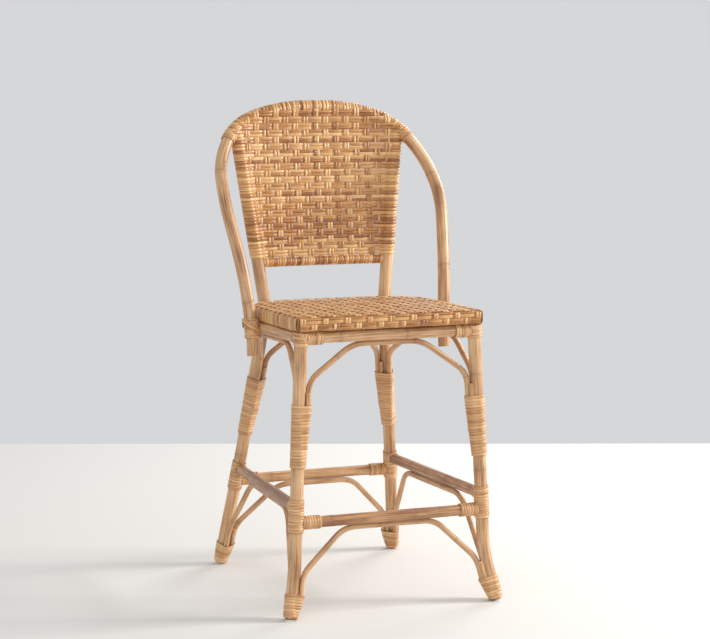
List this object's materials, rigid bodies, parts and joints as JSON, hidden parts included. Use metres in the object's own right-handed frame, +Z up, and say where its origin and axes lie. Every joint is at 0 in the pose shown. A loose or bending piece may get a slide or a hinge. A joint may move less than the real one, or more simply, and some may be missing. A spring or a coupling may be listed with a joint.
{
  "type": "counter stool",
  "caption": "Rattan counter stool with a woven seat, woven rounded back in a bent cane hoop, splayed legs, arched brace canes and a footrest on every side.",
  "frame": {"origin": "middle of the stool's overall bounding box seen from above, on the floor", "axes": "+Z up, +Y towards the back, +X to the right of someone who faces the stool's front"},
  "size_m": [0.5196, 0.554, 1.0347],
  "materials": {
    "pole_cane": "satin lacquered rattan pole",
    "wrap_cane": "satin lacquered rattan peel",
    "weave_cane": "satin woven rattan core",
    "seat_timber": "planed softwood",
    "screw_steel": "zinc plated",
    "glide_plastic": "matte moulded"
  },
  "bodies": {
    "root": {"apron_bent_rail": "pole_cane", "apron_end_binding_left": "wrap_cane", "apron_end_binding_right": "wrap_cane", "apron_front_rail": "pole_cane", "apron_screws": "screw_steel", "apron_side_bindings": "wrap_cane", "back_hoop": "pole_cane", "back_lower_rail": "pole_cane", "back_weave": "weave_cane", "brace_pins": "screw_steel", "floor_glides": "glide_plastic", "foot_wrap_front_left": "wrap_cane", "foot_wrap_front_right": "wrap_cane", "foot_wrap_rear_left": "wrap_cane", "foot_wrap_rear_right": "wrap_cane", "footrest_back": "pole_cane", "footrest_front": "pole_cane", "footrest_left": "pole_cane", "footrest_right": "pole_cane", "footrest_screws": "screw_steel", "front_leg_left": "pole_cane", "front_leg_right": "pole_cane", "hoop_end_lashing_left": "wrap_cane", "hoop_end_lashing_right": "wrap_cane", "hoop_shoulder_binding_left": "wrap_cane", "hoop_shoulder_binding_right": "wrap_cane", "joint_binding_front_left": "wrap_cane", "joint_binding_front_right": "wrap_cane", "joint_binding_rear_left": "wrap_cane", "joint_binding_rear_right": "wrap_cane", "leg_top_binding_left": "wrap_cane", "leg_top_binding_right": "wrap_cane", "lower_brace_back": "pole_cane", "lower_brace_front": "pole_cane", "lower_brace_left": "pole_cane", "lower_brace_right": "pole_cane", "lower_filler_canes": "pole_cane", "post_lashing_left": "wrap_cane", "post_lashing_right": "wrap_cane", "rail_binding_front_left": "wrap_cane", "rail_binding_front_right": "wrap_cane", "rail_binding_rear_left": "wrap_cane", "rail_binding_rear_right": "wrap_cane", "rear_pole_left": "pole_cane", "rear_pole_right": "pole_cane", "seat_frame": "seat_timber", "seat_screws": "screw_steel", "seat_slats": "seat_timber", "seat_weave": "weave_cane", "side_rail_bindings": "wrap_cane", "upper_brace_back": "pole_cane", "upper_brace_front": "pole_cane", "upper_brace_left": "pole_cane", "upper_brace_right": "pole_cane", "upper_filler_canes": "pole_cane", "upper_wrap_front_left": "wrap_cane", "upper_wrap_front_right": "wrap_cane", "upper_wrap_rear_left": "wrap_cane", "upper_wrap_rear_right": "wrap_cane"}
  },
  "joints": []
}
